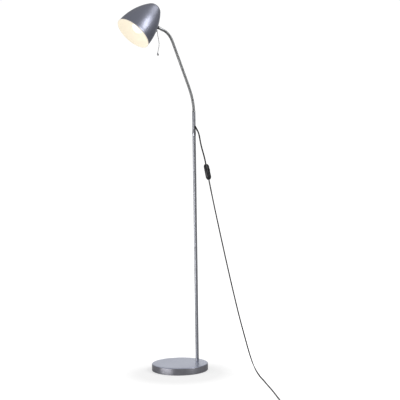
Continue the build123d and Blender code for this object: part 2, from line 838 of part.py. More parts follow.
def case_rocker():
    """The rocker: a shallow V on top and a round back, tilted to one side."""
    half, top = rocker_len / 2, rocker_depth + rocker_proud * 0.4
    outline = Polyline(
        (-half + 0.6, 0, top + 0.9), (-half * 0.3, 0, top), (half * 0.3, 0, top), (half - 0.6, 0, top + 0.9),
        (half - 0.9, 0, 0.4), (half * 0.45, 0, -1.9), (-half * 0.45, 0, -1.9), (-half + 0.9, 0, 0.4),
        close=True,
    )
    body = extrude(make_face(outline), rocker_w / 2, both=True)
    tilted = Rot(0, rocker_tilt, 0) * body
    return case_plane * (Pos(0, 0, case_upper_t - rocker_depth) * tilted)


# ================================================================ plug
plug_plane = Plane(origin=plug_point, x_dir=plug_dir, z_dir=(0, 0, 1))


def plug_body():
    """The flat two-pin plug, narrowing to the cord."""
    tail, w, length = plug_tail_w / 2, plug_w / 2, plug_body_len
    outline = make_face(Polyline(
        (0, -tail), (9, -tail), (19, -w), (length, -w), (length, w), (19, w), (9, tail), (0, tail), close=True,
    ))
    body = extrude(outline, plug_t / 2, both=True)
    body = fillet(body.edges().filter_by(Plane.XY), plug_edge_r)
    return plug_plane * body


def plug_pins():
    """The plug's two round pins."""
    pins = Part()
    for side in (-1, 1):
        pin = turned([
            (0, 0), (pin_r, 0), (pin_r, pin_len - 1.2), (pin_r - 1, pin_len), (0, pin_len),
        ])
        pins += Pos(plug_body_len, side * pin_span / 2, 0) * Rot(0, 90, 0) * pin
    return plug_plane * pins


# ================================================================ all the sub-parts
save("base_cover", base_cover())
save("base_weight", base_weight())
save("base_pad", base_pad())
save("pole_bolt", pole_bolt())
save("pole_bolt_washer", pole_bolt_washer())
save("pole_foot_plug", pole_foot_plug())
save("pole_lower", pole_lower())
save("pole_stud", pole_stud())
save("pole_upper", pole_upper())
save("pole_collar", pole_collar())
save("cord_sleeve", cord_sleeve())
save("cord_bush", cord_bush())
save("neck_foot_ferrule", foot_ferrule())
for k, link_length in enumerate(link_lengths):
    save(f"neck_link_{k + 1}", pivots[k] * neck_link(link_length))
save("neck_end_ferrule", end_ferrule())
save("neck_lead", neck_lead())
save("swivel_knuckle", swivel_knuckle())
save("nipple_nut", nipple_nut())
save("shade", shade())
save("holder_strap", holder_strap())
save("holder_cap", holder_cap())
save("holder_barrel", holder_barrel())
save("stem_nut", stem_nut())
save("screw_shell", screw_shell())
save("contact_block", contact_block())
save("bulb_cap", bulb_cap())
save("bulb_glass", bulb_glass())
save("pull_switch", pull_switch())
save("ring_nuts", ring_nuts())
save("pull_plunger", plunger())
save("pull_chain", pull_chain())
save("chain_knob", chain_knob())
save("cord_upper", cord_along("cord_upper", upper_route, cord_r))
save("cord_lower", cord_along("cord_lower", lower_route, cord_r))
save("cord_coil", cord_coil())
save("case_upper", case_upper())
save("case_lower", case_lower())
save("case_screws", case_screws())
save("case_rocker", case_rocker())
save("plug_body", plug_body())
save("plug_pins", plug_pins())
print("shade origin", tuple(shade_plane.origin), "neck angle", round(neck_angle, 2))
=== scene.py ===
import json
import math

import bmesh
import bpy
from mathutils import Matrix, Vector


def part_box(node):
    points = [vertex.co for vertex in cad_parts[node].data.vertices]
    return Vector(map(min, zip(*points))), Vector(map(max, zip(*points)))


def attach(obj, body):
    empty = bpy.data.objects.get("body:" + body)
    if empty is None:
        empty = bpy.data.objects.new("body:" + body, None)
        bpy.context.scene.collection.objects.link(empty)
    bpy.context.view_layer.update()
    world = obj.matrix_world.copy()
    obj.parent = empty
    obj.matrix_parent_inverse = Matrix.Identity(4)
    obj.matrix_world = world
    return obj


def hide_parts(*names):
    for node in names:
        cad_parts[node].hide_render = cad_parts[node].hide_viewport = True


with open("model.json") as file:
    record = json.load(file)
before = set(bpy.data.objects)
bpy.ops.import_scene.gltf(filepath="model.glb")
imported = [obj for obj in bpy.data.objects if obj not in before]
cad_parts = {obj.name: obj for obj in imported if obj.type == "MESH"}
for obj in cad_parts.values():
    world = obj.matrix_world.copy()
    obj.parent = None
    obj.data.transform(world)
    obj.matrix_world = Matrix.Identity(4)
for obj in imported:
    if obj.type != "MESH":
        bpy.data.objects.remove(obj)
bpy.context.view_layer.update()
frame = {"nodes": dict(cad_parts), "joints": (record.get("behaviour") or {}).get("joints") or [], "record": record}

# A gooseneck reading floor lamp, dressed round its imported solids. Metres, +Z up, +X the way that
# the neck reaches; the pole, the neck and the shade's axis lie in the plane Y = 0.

JOINTS = {joint["name"]: joint for joint in frame["joints"]}
MM = 0.001


# ======== sizes and places
def low(node):
    return Vector(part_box(node)[0])


def high(node):
    return Vector(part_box(node)[1])


def joint_point(name):
    return Vector(JOINTS[name]["pos_m"])


POLE_X = (low("pole_lower").x + high("pole_lower").x) / 2
POLE_R = (high("pole_lower").x - low("pole_lower").x) / 2
BASE_R = (high("base_cover").x - low("base_cover").x) / 2
SLEEVE_TOP = high("cord_sleeve").z

CORD_HEADING = math.radians(107.85)     # compass of the hanging cord about the pole, from +X
CORD_R = 2.6 * MM                       # half the flat cord's width
CORD_THICKNESS = 3.3 * MM
FLOOR_GAP = 0.05 * MM
LIE = CORD_R + FLOOR_GAP                # height of the cord's line where it lies on the floor


# ======== camera
PHOTO = 400                 # the picture's side in pixels
FOCAL_PX = 918.0            # focal length in those pixels
SENSOR_MM = 36.0
CAMERA_AZIMUTH = math.radians(149.0)
CAMERA_DISTANCE = 3.264
CAMERA_HEIGHT = 0.6895
BASE_PX = 177.6             # column of the picture where the origin's upright stands
HORIZON_PX = 23.6           # the horizon lies this far above the picture's middle
CAMERA_PITCH = math.atan(HORIZON_PX / FOCAL_PX)
CAMERA_ROLL = math.radians(0.8)

TO_CAMERA = Vector((math.sin(CAMERA_AZIMUTH), -math.cos(CAMERA_AZIMUTH), 0))
TO_RIGHT = Vector((math.cos(CAMERA_AZIMUTH), math.sin(CAMERA_AZIMUTH), 0))
UP = Vector((0, 0, 1))
SIDE = Vector((0, 1, 0))    # square to the plane of the lamp


def make_camera():
    """The photograph's camera, solved from the base's ellipse and the pole."""
    data = bpy.data.cameras.new("camera")
    data.sensor_width = SENSOR_MM
    data.lens = SENSOR_MM * FOCAL_PX / PHOTO
    camera = bpy.data.objects.new("camera", data)
    bpy.context.collection.objects.link(camera)
    aside = (PHOTO / 2 - BASE_PX) / FOCAL_PX * CAMERA_DISTANCE
    place = TO_CAMERA * CAMERA_DISTANCE + TO_RIGHT * aside + UP * CAMERA_HEIGHT
    back = TO_CAMERA * math.cos(CAMERA_PITCH) + UP * math.sin(CAMERA_PITCH)
    upright = back.cross(TO_RIGHT)
    right = TO_RIGHT * math.cos(CAMERA_ROLL) - upright * math.sin(CAMERA_ROLL)
    over = TO_RIGHT * math.sin(CAMERA_ROLL) + upright * math.cos(CAMERA_ROLL)
    camera.matrix_world = placed(place, right, over, back)
    bpy.context.scene.camera = camera


# ======== mesh helpers
ON_AXIS = 1e-7              # a radius below this is a point on the axis
CORNER_SHARE = 0.48         # a rounded corner takes at most this share of a run


def finish_mesh(name, mesh_data, materials, sharp=35):
    """Closes a bmesh into an object that is smooth, apart from its sharp edges."""
    data = bpy.data.meshes.new(name)
    bmesh.ops.recalc_face_normals(mesh_data, faces=mesh_data.faces)
    mesh_data.to_mesh(data)
    mesh_data.free()
    data.shade_smooth()
    data.set_sharp_from_angle(angle=math.radians(sharp))
    piece = bpy.data.objects.new(name, data)
    bpy.context.collection.objects.link(piece)
    for material in materials:
        data.materials.append(material)
    return piece


def placed(origin, x, y, z):
    """The place at an origin with three axes that are square to each other."""
    return Matrix.Translation(origin) @ Matrix((x, y, z)).transposed().to_4x4()


def frame_at(point, z_dir):
    """A place whose Z is z_dir and whose X is +Y made square to it."""
    z = Vector(z_dir).normalized()
    x = (SIDE - z * SIDE.dot(z)).normalized()
    return placed(point, x, z.cross(x), z)


def arc(centre, radius, start, end, steps):
    """Points on an arc of an outline, from one angle in degrees to another."""
    points = []
    for k in range(steps + 1):
        angle = math.radians(start + (end - start) * k / steps)
        points.append((centre[0] + radius * math.cos(angle), centre[1] + radius * math.sin(angle)))
    return points


def rounded(points, radius, steps=4):
    """An open outline with its inner corners rounded, as far as its runs allow."""
    path = [Vector(p) for p in points]
    out = [path[0]]
    for before, here, after in zip(path, path[1:], path[2:]):
        run_in, run_out = before - here, after - here
        half = run_in.angle(run_out) / 2
        room = CORNER_SHARE * min(run_in.length, run_out.length)
        reach = min(radius / math.tan(half), room)
        first, last = here + run_in.normalized() * reach, here + run_out.normalized() * reach
        for k in range(steps + 1):
            t = k / steps
            out.append(first.lerp(here, t).lerp(here.lerp(last, t), t))
    out.append(path[-1])
    return [(p.x, p.y) for p in out]


def lathe(name, outline, place, materials, segments, pick=None, sharp=35):
    """A turned mesh: a closed outline of (radius, height) about the place's Z. pick tells the
    number of the material on each of the outline's runs."""
    mesh = bmesh.new()
    rings = []
    for radius, height in outline:
        if radius < ON_AXIS:
            rings.append([mesh.verts.new((0, 0, height))])
            continue
        ring = []
        for k in range(segments):
            turn = 2 * math.pi * k / segments
            ring.append(mesh.verts.new((radius * math.cos(turn), radius * math.sin(turn), height)))
        rings.append(ring)
    for index, (ring, after) in enumerate(zip(rings, rings[1:] + rings[:1])):
        if len(ring) == 1 and len(after) == 1:
            continue
        for k in range(segments):
            n = (k + 1) % segments
            if len(ring) == 1:
                face = mesh.faces.new((ring[0], after[n], after[k]))
            elif len(after) == 1:
                face = mesh.faces.new((ring[k], ring[n], after[0]))
            else:
                face = mesh.faces.new((ring[k], ring[n], after[n], after[k]))
            face.material_index = pick(index) if pick else 0
    mesh.transform(place)
    return finish_mesh(name, mesh, materials, sharp)


def loft_rings(name, rings, materials, sharp=35):
    """A closed skin through rings of as many points each, capped at both ends."""
    mesh = bmesh.new()
    made = [[mesh.verts.new(p) for p in ring] for ring in rings]
    for ring, after in zip(made, made[1:]):
        for k in range(len(ring)):
            n = (k + 1) % len(ring)
            mesh.faces.new((ring[k], ring[n], after[n], after[k]))
    mesh.faces.new(made[0])
    mesh.faces.new(made[-1])
    return finish_mesh(name, mesh, materials, sharp)


def put(piece, body, slot, *nodes):
    """A piece rides on its body and stands for nodes, which it hides; slot is not used."""
    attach(piece, body)
    if nodes:
        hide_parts(*nodes)
    return piece


def turned(name, outline, place, body, slot, node, segments=48, second=(), pick=None, sharp=35):
    """A turned piece with its slot's finish, and a second one where pick says 1."""
    piece = lathe(name, outline, place, [MATERIALS[slot], *second], segments, pick, sharp)
    return put(piece, body, slot, node)


# ======== materials
class Shader:
    """A material's node tree with the few nodes that these finishes use."""

    def __init__(self, name):
        self.material = bpy.data.materials.new(name)
        self.material.use_nodes = True
        self.nodes = self.material.node_tree.nodes
        self.links = self.material.node_tree.links
        self.surface = self.nodes["Principled BSDF"]
        self.place = self.nodes.new("ShaderNodeTexCoord").outputs["Object"]

    def set(self, **values):
        """Constants on the shader's own sockets, by socket name with _ for a space."""
        for name, value in values.items():
            self.surface.inputs[name.replace("_", " ")].default_value = value
        return self

    def stretched(self, scale):
        """Object coordinates, scaled by a number for each axis."""
        mapping = self.nodes.new("ShaderNodeMapping")
        mapping.inputs["Scale"].default_value = scale
        self.links.new(self.place, mapping.inputs["Vector"])
        return mapping.outputs["Vector"]

    def noise(self, scale, detail=4.0, vector=None):
        node = self.nodes.new("ShaderNodeTexNoise")
        node.inputs["Scale"].default_value = scale
        node.inputs["Detail"].default_value = detail
        node.inputs["Roughness"].default_value = 0.55
        self.links.new(vector or self.place, node.inputs["Vector"])
        return node.outputs["Fac"]

    def cells(self, scale):
        node = self.nodes.new("ShaderNodeTexVoronoi")
        node.inputs["Scale"].default_value = scale
        self.links.new(self.place, node.inputs["Vector"])
        return node.outputs["Distance"]

    def ramp(self, factor, stops):
        """A colour ramp from (position, colour) stops."""
        node = self.nodes.new("ShaderNodeValToRGB")
        elements = node.color_ramp.elements
        while len(elements) < len(stops):
            elements.new(0.5)
        for element, (position, colour) in zip(elements, stops):
            element.position = position
            element.color = (*colour, 1)
        self.links.new(factor, node.inputs["Fac"])
        return node.outputs["Color"]

    def spread(self, factor, smallest, largest):
        """Maps 0 to 1 on to a range."""
        node = self.nodes.new("ShaderNodeMapRange")
        node.inputs["To Min"].default_value = smallest
        node.inputs["To Max"].default_value = largest
        self.links.new(factor, node.inputs["Value"])
        return node.outputs["Result"]

    def colour(self, factor, dark, light):
        mixed = self.ramp(factor, [(0.3, dark), (0.7, light)])
        self.links.new(mixed, self.surface.inputs["Base Color"])
        return self

    def rough(self, factor, smallest, largest):
        self.links.new(self.spread(factor, smallest, largest), self.surface.inputs["Roughness"])
        return self

    def bump(self, height, distance, strength):
        node = self.nodes.new("ShaderNodeBump")
        node.inputs["Distance"].default_value = distance
        node.inputs["Strength"].default_value = strength
        self.links.new(height, node.inputs["Height"])
        self.links.new(node.outputs["Normal"], self.surface.inputs["Normal"])
        return self


BULB_LIGHT = (1.0, 0.95, 0.84)
ENAMEL_PAINTED_GLOW = (1.0, 0.91, 0.74)


def shade_of(colour, factor):
    return tuple(min(1.0, channel * factor) for channel in colour)


def flake_paint(name, colour, roughness, metallic=0.7):
    """Silver lacquer: fine flakes, faint clouding and a soft skin."""
    shader = Shader(name).set(Metallic=metallic, Coat_Weight=0.25, Coat_Roughness=0.18)
    shader.colour(shader.cells(2600.0), shade_of(colour, 0.93), shade_of(colour, 1.07))
    shader.rough(shader.noise(9.0, 3.0), roughness - 0.05, roughness + 0.05)
    return shader.bump(shader.noise(1500.0, 2.0), 0.01 * MM, 0.2).material


def turned_paint(name, colour, roughness, grain=(14.0, 14.0, 1500.0)):
    """Silver lacquer over a turned rim, which draws each light out into an upright band."""
    shader = Shader(name).set(Metallic=0.9, Anisotropic=0.85, Anisotropic_Rotation=0.25)
    tangent = shader.nodes.new("ShaderNodeTangent")
    tangent.direction_type = "RADIAL"
    tangent.axis = "Z"
    shader.links.new(tangent.outputs["Tangent"], shader.surface.inputs["Tangent"])
    lines = shader.noise(1.0, 3.0, vector=shader.stretched(grain))
    shader.colour(lines, shade_of(colour, 0.88), shade_of(colour, 1.1))
    shader.rough(lines, roughness - 0.04, roughness + 0.06)
    return shader.bump(lines, 0.02 * MM, 0.4).material


def brushed_metal(name, colour, roughness, grain=(900.0, 900.0, 12.0)):
    """Bare metal with a drawn grain along one axis."""
    shader = Shader(name).set(Metallic=1.0)
    streaks = shader.noise(1.0, 3.0, vector=shader.stretched(grain))
    shader.colour(streaks, shade_of(colour, 0.86), shade_of(colour, 1.1))
    shader.rough(streaks, roughness - 0.07, roughness + 0.08)
    return shader.bump(streaks, 0.02 * MM, 0.4).material


def moulded(name, colour, roughness, grain=1800.0, depth=0.03 * MM):
    """Moulded plastic or rubber with a fine sparked grain."""
    shader = Shader(name).set(Specular_IOR_Level=0.45)
    shader.colour(shader.noise(60.0, 3.0), shade_of(colour, 0.85), shade_of(colour, 1.2))
    shader.rough(shader.noise(240.0, 2.0), roughness - 0.06, roughness + 0.06)
    return shader.bump(shader.noise(grain, 2.0), depth, 0.5).material


def cast(name, colour):
    """Rough cast iron."""
    shader = Shader(name).set(Metallic=0.6)
    shader.colour(shader.noise(140.0), shade_of(colour, 0.7), shade_of(colour, 1.4))
    shader.rough(shader.noise(80.0), 0.6, 0.85)
    return shader.bump(shader.noise(500.0), 0.4 * MM, 0.7).material


def enamel(name, colour, glow):
    """The shade's white inside, lightly uneven, with a painted warm glow standing in for the bulb's light bounced
    round it.
    """
    shader = Shader(name).set(Specular_IOR_Level=0.3, Emission_Strength=glow,
                              Emission_Color=(*ENAMEL_PAINTED_GLOW, 1))
    shader.colour(shader.noise(26.0, 3.0), shade_of(colour, 0.96), colour)
    shader.rough(shader.noise(60.0, 2.0), 0.38, 0.5)
    return shader.bump(shader.noise(520.0, 2.0), 0.05 * MM, 0.4).material


def opal_glass(name, strength):
    """The lit opal glass, a little brighter in soft patches."""
    shader = Shader(name).set(Roughness=0.3, Emission_Strength=strength)
    patch = shader.noise(18.0, 2.0)
    shader.colour(patch, (0.92, 0.90, 0.84), (0.98, 0.96, 0.90))
    glow = shader.ramp(patch, [(0.2, shade_of(BULB_LIGHT, 0.94)), (0.8, BULB_LIGHT)])
    shader.links.new(glow, shader.surface.inputs["Emission Color"])
    return shader.material


FINISHES = {                             # the maker of each slot's finish, and its values
    # the cover's top tone, bluer than its rim's tone: painted light, see COVER_RIM
    "cover_paint": (flake_paint, (0.43, 0.465, 0.59), 0.36),
    "weight_iron": (cast, (0.12, 0.12, 0.13)),
    "pad_rubber": (moulded, (0.03, 0.03, 0.03), 0.75, 900.0, 0.1 * MM),
    "zinc_steel": (brushed_metal, (0.62, 0.62, 0.60), 0.34),
    "pole_paint": (flake_paint, (0.41, 0.42, 0.46), 0.40),
    "collar_metal": (brushed_metal, (0.56, 0.57, 0.62), 0.28),
    "bush_rubber": (moulded, (0.02, 0.02, 0.02), 0.55),
    "neck_metal": (brushed_metal, (0.37, 0.375, 0.38), 0.44, (200.0, 200.0, 200.0)),
    "ferrule_chrome": (brushed_metal, (0.46, 0.465, 0.48), 0.44),
    "lead_sheath": (moulded, (0.05, 0.05, 0.05), 0.5),
    "knuckle_plastic": (moulded, (0.015, 0.015, 0.017), 0.28),
    "shade_paint": (flake_paint, (0.325, 0.34, 0.42), 0.40, 0.85),
    "holder_plastic": (moulded, (0.82, 0.80, 0.74), 0.42),
    "shell_brass": (brushed_metal, (0.75, 0.58, 0.28), 0.26),
    "block_ceramic": (moulded, (0.86, 0.84, 0.78), 0.3),
    "bulb_cap_metal": (brushed_metal, (0.72, 0.72, 0.74), 0.3),
    "bulb_opal": (opal_glass, 1.1),
    "switch_plastic": (moulded, (0.04, 0.04, 0.042), 0.45),
    "chain_nickel": (brushed_metal, (0.36, 0.36, 0.38), 0.3),
    "cord_sheath": (moulded, (0.018, 0.018, 0.02), 0.42),
    "case_plastic": (moulded, (0.022, 0.022, 0.025), 0.38),
    "rocker_plastic": (moulded, (0.02, 0.02, 0.022), 0.24),
    "plug_plastic": (moulded, (0.022, 0.022, 0.025), 0.4),
    "pin_nickel": (brushed_metal, (0.66, 0.65, 0.60), 0.22),
}
MATERIALS = {slot: maker(slot, *values) for slot, (maker, *values) in FINISHES.items()}
# The cover's rim and top are one lacquer in two tones, the top bluer than the rim: the difference is painted
# light, each tone matched to how its face takes the light.
COVER_RIM = turned_paint("cover_rim", (0.44, 0.44, 0.49), 0.42)
# The inside's glow is painted light: it stands in for the bulb's light bounced round the shade.
SHADE_INSIDE = enamel("shade_enamel", (0.42, 0.40, 0.36), 0.62)


def dress_nodes():
    """Every carried-over node gets its slot's finish."""
    for entry in frame["record"]["subparts"]:
        node = frame["nodes"][entry["node"]]
        node.data.materials.clear()
        node.data.materials.append(MATERIALS[entry["material_slot"]])


# ======== the cord
CORD_DIR = Vector((math.cos(CORD_HEADING), math.sin(CORD_HEADING), 0))
OUTLET_Z = 876.6 * MM                    # where the bush's axis crosses the sleeve's middle
OUTLET_DIP = math.radians(55.0)          # the bush points this far below level
BUSH_START = 8.2 * MM                    # along the bush's axis, from the middle of the sleeve
BUSH_END = 31.0 * MM
BUSH_R = 3.3 * MM
BUSH_TIP_R = 2.8 * MM
BUSH_GROOVES = 6
BUSH_FIRST_GROOVE = 13.0 * MM
BUSH_PITCH = 2.6 * MM
BUSH_GROOVE_DEPTH = 0.45 * MM
BUSH_DIR = CORD_DIR * math.cos(OUTLET_DIP) - UP * math.sin(OUTLET_DIP)
BUSH_ORIGIN = Vector((POLE_X, 0, OUTLET_Z))
BUSH_TIP = BUSH_ORIGIN + BUSH_DIR * BUSH_END


def hang(out, height):
    """A point of the hanging cord: its distance from the pole's axis and its height."""
    return Vector((POLE_X, 0, height * MM)) + CORD_DIR * (out * MM)


CASE_TOP = hang(53.5, 733.3)
CASE_AXIS = (hang(67.2, 676.6) - CASE_TOP).normalized()
CASE_LEN = 58.0 * MM
CASE_END = CASE_TOP + CASE_AXIS * CASE_LEN
UPPER_ROUTE = [
    BUSH_TIP,
    BUSH_TIP + BUSH_DIR * 0.010,
    hang(31.0, 803.0),
    CASE_TOP - CASE_AXIS * 0.024,
    CASE_TOP,
]
LOWER_ROUTE = [                          # a few millimetres beside its solid near the floor
    CASE_END,
    CASE_END + CASE_AXIS * 0.052,
    hang(97.5, 556.0),
    hang(116.2, 486.0),
    hang(136.0, 413.0),
    hang(156.0, 341.0),
    hang(176.8, 269.0),
    hang(198.5, 197.0),
    hang(221.5, 130.0),
    Vector((-0.1451, 0.2312, 0.073)),
    Vector((-0.1498, 0.2502, 0.033)),
    Vector((-0.1529, 0.2779, 0.007)),
    Vector((-0.1433, 0.3134, LIE)),
    Vector((-0.1230, 0.3568, LIE)),
    Vector((-0.0997, 0.4094, LIE)),
    Vector((-0.0775, 0.460, LIE)),
    Vector((-0.0535, 0.5105, LIE)),
    Vector((-0.030, 0.560, LIE)),
    Vector((-0.009, 0.606, LIE)),
    Vector((0.008, 0.646, LIE)),
]
COIL_MID_R = 30.5 * MM
COIL_GAP = 1.5 * MM
COIL_HALF_TURNS = 8
COIL_TAIL = 26.0 * MM
COIL_POINTS = 8                          # points for each half turn
PLUG_HEIGHT = (low("plug_body").z + high("plug_body").z) / 2


def coil_points():
    """The coil's turns, in along the floor and out a layer higher, and the way to the plug."""
    start = LOWER_ROUTE[-1]
    ahead = (start - LOWER_ROUTE[-2]).normalized()
    side = Vector((ahead.y, -ahead.x, 0))
    step = 2 * CORD_R + COIL_GAP
    inward = COIL_HALF_TURNS // 2
    radius = COIL_MID_R + inward * step / 4
    centre = start + ahead * (2 * CORD_R) + side * radius
    points, height = [], start.z
    for k in range(COIL_HALF_TURNS):
        climb = step if k == inward else 0.0
        change = 0.0 if k == inward else (-step / 2 if k < inward else step / 2)
        for n in range(COIL_POINTS):
            share = n / COIL_POINTS
            turn = math.pi * (k + share)
            reach = radius + change * share
            at = centre - side * (reach * math.cos(turn)) + ahead * (reach * math.sin(turn))
            points.append(Vector((at.x, at.y, height + climb * share)))
        radius += change
        height += climb
    off = centre - side * radius
    level_end = off + ahead * COIL_TAIL
    plug_point = level_end + ahead * (COIL_TAIL + 2 * CORD_R)
    plug_point.z = PLUG_HEIGHT
    points += [
        Vector((off.x, off.y, height)),
        Vector((level_end.x, level_end.y, height)),
        plug_point - ahead * (2 * CORD_R + COIL_TAIL * 0.3),
        plug_point,
    ]
    return points, plug_point, ahead


COIL, PLUG_POINT, PLUG_DIR = coil_points()


def nurbs_line(points):
    """The smooth line of a route as many points: its NURBS spline, read back with no bevel."""
    data = bpy.data.curves.new("route", "CURVE")
    data.dimensions = "3D"
    data.resolution_u = 6
    spline = data.splines.new("NURBS")
    spline.points.add(len(points) - 1)
    for control, point in zip(spline.points, points):
        control.co = (*point, 1)
    spline.order_u = 3
    spline.use_endpoint_u = True
    holder = bpy.data.objects.new("route", data)
    bpy.context.collection.objects.link(holder)
    bpy.context.view_layer.update()
    mesh = bpy.data.meshes.new_from_object(holder)
    line = [vertex.co.copy() for vertex in mesh.vertices]
    bpy.data.objects.remove(holder)
    bpy.data.meshes.remove(mesh)
    return line


CORD_SECTION = 20                        # points round the flat cord
GROOVE_DEPTH = 0.22                      # of the groove between the cores, in core radii
GROOVE_WIDTH = 0.25
CORE_BLEND = 3                           # how quickly the section passes from core to core
TWIST_HEIGHT = 0.12                      # the cord turns level over this height above the floor


def cord_section(point, along, across):
    """The flat twin cord's outline at a point: two round cores with a shallow groove between."""
    across = (across - along * across.dot(along)).normalized()
    over = along.cross(across)
    core = CORD_THICKNESS / 2
    apart = CORD_R - core
    ring = []
    for k in range(CORD_SECTION):
        turn = 2 * math.pi * (k + 0.5) / CORD_SECTION
        c, s = math.cos(turn), math.sin(turn)
        groove = 1 - GROOVE_DEPTH * math.exp(-(c / GROOVE_WIDTH) ** 2)
        wide = math.copysign(apart, c) * min(1, abs(c) * CORE_BLEND)
        ring.append(point + across * (wide + core * c) + over * (core * groove * s))
    return ring


def cord_across(point, along):
    """Which way the flat cord's width lies: to the right above the switch, then half towards the
    camera, and level where it lies on the floor."""
    above = min(1, max(0, (point.z - CASE_END.z) / (CASE_TOP.z - CASE_END.z)))
    floor = min(1, max(0, 1 - (point.z - LIE) / TWIST_HEIGHT))
    level = along.cross(UP)
    return TO_RIGHT * above + (TO_CAMERA + TO_RIGHT) * (1 - above) * (1 - floor) + level * floor


def make_cord():
    """The whole mains cord on one line: down to the switch and the floor, the coil, the plug."""
    line = nurbs_line(UPPER_ROUTE + LOWER_ROUTE + COIL)
    rings = []
    for k, point in enumerate(line):
        along = (line[min(k + 1, len(line) - 1)] - line[max(k - 1, 0)]).normalized()
        rings.append(cord_section(point, along, cord_across(point, along)))
    cord = loft_rings("mains_cord", rings, [MATERIALS["cord_sheath"]], 60)
    put(cord, "stand", "cord_sheath", "cord_upper", "cord_lower", "cord_coil")
    length = sum((b - a).length for a, b in zip(line, line[1:]))
    return cord, line, length


def make_bush():
    """The tapered rubber strain relief, with grooves round it."""
    outline = [(0, BUSH_START), (BUSH_R, BUSH_START)]
    for k in range(BUSH_GROOVES):
        foot = BUSH_FIRST_GROOVE + k * BUSH_PITCH
        share = (foot - BUSH_START) / (BUSH_END - BUSH_START)
        radius = BUSH_R + (BUSH_TIP_R - BUSH_R) * share
        bottom = radius - BUSH_GROOVE_DEPTH
        outline += [(radius, foot), (bottom, foot + 0.3 * MM)]
        outline += [(bottom, foot + 1.0 * MM), (radius, foot + 1.3 * MM)]
    outline += [(BUSH_TIP_R, BUSH_END - 0.5 * MM), (BUSH_TIP_R - 0.4 * MM, BUSH_END), (0, BUSH_END)]
    return turned("strain_relief", outline, frame_at(BUSH_ORIGIN, BUSH_DIR),
                  "stand", "bush_rubber", "cord_bush", segments=32)


# ======== switch on the cord
CASE_FACE = CORD_DIR.cross(UP).cross(CASE_AXIS).normalized()
CASE_PLACE = placed(CASE_TOP + CASE_AXIS * (CASE_LEN / 2),
                    CASE_AXIS, CASE_FACE.cross(CASE_AXIS), CASE_FACE)
CASE_UPPER_T = 8.0 * MM
CASE_LOWER_T = 6.5 * MM
CASE_W = 20.0 * MM
CASE_END_W = 11.0 * MM
CASE_SHOULDER = 8.0 * MM
SHELL_LEN = 56.0 * MM                   # the case as it shows, a little inside its solids
CASE_LIP = 1.4 * MM                     # its rounded ends
SEAM_W = 1.0 * MM
SEAM_H = 0.35 * MM
SEAM_OUT = 0.12 * MM                    # the seam's cutters stand this far out
POCKET_GAP = 0.4 * MM                   # round the rocker
POCKET_DEPTH = 6.5 * MM
ROCKER_LEN = 20.0 * MM
ROCKER_W = 9.6 * MM
ROCKER_DEPTH = 3.2 * MM
ROCKER_PROUD = 0.9 * MM                 # its middle stands this far out of the case
ROCKER_CROWN = 0.9 * MM                 # its ends rise this far above its middle
ROCKER_EDGE = 0.45 * MM
ROCKER_TILT = math.radians(7.0)


def smooth(t):
    """Eases 0 to 1 at both ends."""
    return t * t * (3 - 2 * t)


def lip(inset, reach, start):
    """How far a rounded end is open: from a starting share to 1 over its reach."""
    return start + (1 - start) * min(1, inset / reach) ** 0.5


def rounded_ring(x, half_w, up, down, power=3.2, count=40):
    """A ring square to X, between a rectangle and an ellipse, flatter below than above."""
    ring = []
    for k in range(count):
        turn = 2 * math.pi * (k + 0.5) / count
        c, s = math.cos(turn), math.sin(turn)
        y = half_w * math.copysign(abs(c) ** (2 / power), c)
        z = (up if s > 0 else down) * math.copysign(abs(s) ** (2 / power), s)
        ring.append(Vector((x, y, z)))
    return ring


def cut(piece, cutter):
    """Takes the cutter out of a piece and removes it."""
    modifier = piece.modifiers.new("cut", "BOOLEAN")
    modifier.object = cutter
    modifier.solver = "EXACT"
    bpy.context.view_layer.update()
    shape = piece.evaluated_get(bpy.context.evaluated_depsgraph_get())
    data = bpy.data.meshes.new_from_object(shape)
    piece.modifiers.clear()
    piece.data = data
    data.set_sharp_from_angle(angle=math.radians(35))
    bpy.data.objects.remove(cutter)


def block(name, size, place):
    """A rectangular block about its place, to cut with."""
    mesh = bmesh.new()
    bmesh.ops.create_cube(mesh, size=1.0)
    mesh.transform(Matrix.Diagonal((*size, 1)))
    mesh.transform(place)
    return finish_mesh(name, mesh, [])


def make_case():
    """The switch's case: a long rounded body that narrows to both cord entries."""
    half = SHELL_LEN / 2
    stations = [-half, -half + 0.4 * MM, -half + CASE_LIP]
    stations += [-half + CASE_SHOULDER * k / 6 for k in range(1, 7)] + [0.0]
    stations += [-x for x in reversed(stations[:-1])]
    rings = []
    for x in stations:
        inset = half - abs(x)
        share = min(1, inset / CASE_SHOULDER) ** 0.7
        opened = lip(inset, CASE_LIP, 0.86)
        half_w = (CASE_END_W + (CASE_W - CASE_END_W) * share) / 2 * opened
        up = (0.62 + 0.38 * share) * CASE_UPPER_T * opened
        down = (0.66 + 0.34 * share) * CASE_LOWER_T * opened
        rings.append([CASE_PLACE @ p for p in rounded_ring(x, half_w, up, down)])
    case = loft_rings("switch_case", rings, [MATERIALS["case_plastic"]], 50)
    pocket = (ROCKER_LEN + 2 * POCKET_GAP, ROCKER_W + 2 * POCKET_GAP, 2 * POCKET_DEPTH)
    cut(case, block("pocket", pocket, CASE_PLACE @ Matrix.Translation((0, 0, CASE_UPPER_T))))
    for side in (-1, 1):
        place = CASE_PLACE @ Matrix.Translation((0, side * (CASE_W / 2 + SEAM_OUT), 0))
        cut(case, block("seam", (CASE_LEN + 2 * MM, SEAM_W, SEAM_H), place))
    return put(case, "stand", "case_plastic", "case_upper", "case_lower")


